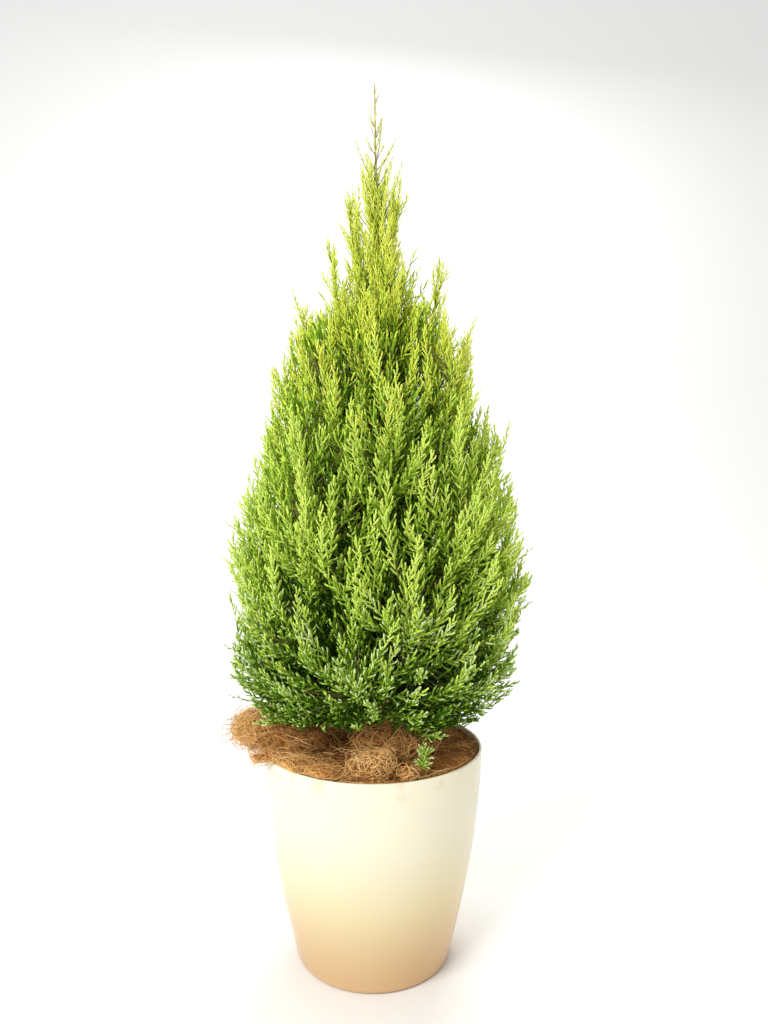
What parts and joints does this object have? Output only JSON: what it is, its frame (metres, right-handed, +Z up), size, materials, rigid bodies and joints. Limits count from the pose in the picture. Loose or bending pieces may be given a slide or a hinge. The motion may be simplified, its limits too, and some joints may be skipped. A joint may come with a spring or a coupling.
{
  "type": "potted golden cypress",
  "caption": "Young golden cypress with a slim leader, a cone of upswept needle plumes, in a round white plastic planter topped with coir mulch; stands on the planter's flat underside.",
  "frame": {"origin": "middle of the planter's flat underside, on the surface it stands on", "axes": "+Z up along the trunk, -Y towards the front that the picture shows, +X to its right"},
  "size_m": [0.4328, 0.4182, 1.185],
  "materials": {
    "white_plastic": "glossy moulded white plastic, a little yellowed and stained below the rim",
    "potting_soil": "dark moist potting mix",
    "coir": "loose brown coconut fibre",
    "bark": "young flaky grey-brown bark",
    "golden_needles": "satin yellow-green needles",
    "lime_needles": "satin bright green needles",
    "green_needles": "satin mid-green needles"
  },
  "bodies": {
    "root": {"bough_03": "bark", "bough_04": "bark", "bough_05": "bark", "bough_06": "bark", "bough_07": "bark", "bough_08": "bark", "bough_09": "bark", "bough_10": "bark", "bough_11": "bark", "bough_12": "bark", "bough_13": "bark", "bough_14": "bark", "bough_15": "bark", "bough_16": "bark", "bough_17": "bark", "coir_hank_front": "coir", "coir_hank_left": "coir", "coir_mulch": "coir", "leader_shoot": "golden_needles", "plume_01": "golden_needles", "plume_02": "golden_needles", "plume_03": "golden_needles", "plume_04": "golden_needles", "plume_05": "golden_needles", "plume_06": "golden_needles", "plume_07": "lime_needles", "plume_08": "lime_needles", "plume_09": "lime_needles", "plume_10": "lime_needles", "plume_11": "lime_needles", "plume_12": "lime_needles", "plume_13": "lime_needles", "plume_14": "lime_needles", "plume_15": "lime_needles", "plume_16": "lime_needles", "plume_17": "lime_needles", "plume_18": "lime_needles", "plume_19": "lime_needles", "plume_20": "lime_needles", "plume_21": "lime_needles", "plume_22": "lime_needles", "plume_23": "lime_needles", "plume_24": "lime_needles", "plume_25": "green_needles", "plume_26": "green_needles", "plume_27": "green_needles", "plume_28": "green_needles", "plume_29": "green_needles", "plume_30": "green_needles", "plume_31": "green_needles", "plume_32": "green_needles", "plume_33": "green_needles", "plume_34": "green_needles", "plume_35": "green_needles", "plume_36": "green_needles", "plume_37": "green_needles", "plume_38": "green_needles", "pot": "white_plastic", "potting_soil": "potting_soil", "trunk": "bark"}
  },
  "joints": []
}
